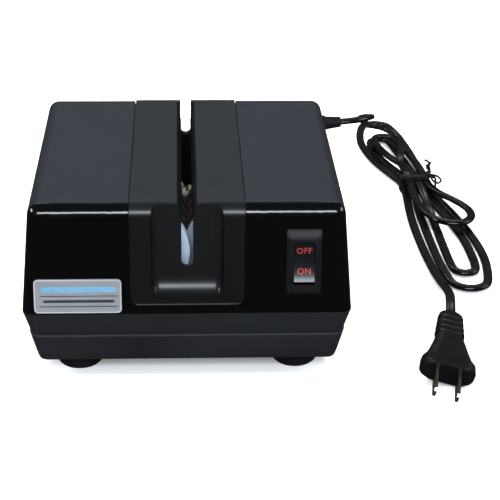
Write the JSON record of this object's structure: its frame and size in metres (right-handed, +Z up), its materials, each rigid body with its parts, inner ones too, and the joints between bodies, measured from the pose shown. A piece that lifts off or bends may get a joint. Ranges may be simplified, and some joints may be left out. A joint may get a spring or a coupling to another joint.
{
  "type": "electric knife sharpener",
  "caption": "Box-shaped electric knife sharpener with a blade slot over interleaved abrasive wheels, a front rocker switch and a tied mains cord.",
  "frame": {"origin": "on the table under the middle of the housing's plan, at the underside of the rubber feet", "axes": "+X to the right as seen from the front, +Y to the back, +Z up"},
  "size_m": [0.2846, 0.4294, 0.1043],
  "materials": {
    "housing_black": "black moulded plastic: fine grain on the top, gloss on the front",
    "cover_black": "satin black moulded plastic",
    "base_black": "satin black moulded plastic",
    "black_rubber": "matte rubber",
    "zinc_steel": "bright zinc",
    "label_silver": "satin silver film",
    "switch_black": "smooth black",
    "tinned_brass": "tinned",
    "galvanised_steel": "galvanised sheet",
    "bronze": "oiled sintered bronze",
    "shaft_steel": "ground",
    "abrasive_pale": "fine matte grit",
    "spacer_white": "natural nylon",
    "gear_nylon": "natural nylon",
    "belt_rubber": "matte rubber",
    "lamination_steel": "stacked sheet",
    "copper_winding": "varnished copper",
    "bracket_aluminium": "die cast",
    "commutator_copper": "turned copper",
    "fan_nylon": "moulded nylon",
    "brush_carbon": "carbon",
    "cord_black": "flexible jacket",
    "tie_black": "paper and wire",
    "plug_black": "moulded flexible plastic",
    "blade_brass": "nickel plated"
  },
  "bodies": {
    "case": {"base_tray": "base_black", "rubber_feet": "black_rubber", "foot_screws": "zinc_steel", "housing_screws": "zinc_steel", "top_housing": "housing_black", "guide_cover": "cover_black", "label_plate": "label_silver", "switch_frame": "switch_black", "switch_terminals": "tinned_brass", "bearing_frame": "galvanised_steel", "frame_screws": "zinc_steel", "spindle_bushes": "bronze", "drive_belt": "belt_rubber", "motor_stator": "lamination_steel", "field_coils": "copper_winding", "motor_front_bracket": "bracket_aluminium", "motor_back_bracket": "bracket_aluminium", "carbon_brushes": "brush_carbon", "motor_screws": "zinc_steel", "strain_relief": "black_rubber", "cord_lead": "cord_black", "cord_hank": "cord_black", "cord_tail": "cord_black", "twist_tie": "tie_black", "plug_body": "plug_black", "plug_blades": "blade_brass"},
    "switch_rocker": {"switch_rocker": "switch_black"},
    "left_spindle": {"left_shaft": "shaft_steel", "left_abrasive_discs": "abrasive_pale", "left_disc_spacers": "spacer_white", "left_gear": "gear_nylon", "driven_pulley": "gear_nylon"},
    "right_spindle": {"right_shaft": "shaft_steel", "right_abrasive_discs": "abrasive_pale", "right_disc_spacers": "spacer_white", "right_gear": "gear_nylon"},
    "motor_rotor": {"motor_shaft": "shaft_steel", "motor_armature": "lamination_steel", "motor_commutator": "commutator_copper", "cooling_fan": "fan_nylon", "motor_pulley": "gear_nylon"}
  },
  "joints": [
    {"name": "switch_tip", "type": "hinge", "parent": "case", "child": "switch_rocker", "pos_m": [0.0621, -0.08538, 0.0723], "axis": [1, 0, 0], "range_deg": [0, 18]},
    {"name": "left_spindle_spin", "type": "hinge", "parent": "case", "child": "left_spindle", "pos_m": [-0.0235, 0, 0.073], "axis": [0, 1, 0], "continuous": true},
    {"name": "right_spindle_spin", "type": "hinge", "parent": "case", "child": "right_spindle", "pos_m": [0.0235, 0, 0.073], "axis": [0, 1, 0], "continuous": true},
    {"name": "motor_spin", "type": "hinge", "parent": "case", "child": "motor_rotor", "pos_m": [0.036, 0, 0.045], "axis": [0, 1, 0], "continuous": true}
  ],
  "couplings": [
    {"joint": "right_spindle_spin", "follows": "left_spindle_spin", "ratio": -1},
    {"joint": "motor_spin", "follows": "left_spindle_spin", "ratio": 2}
  ]
}
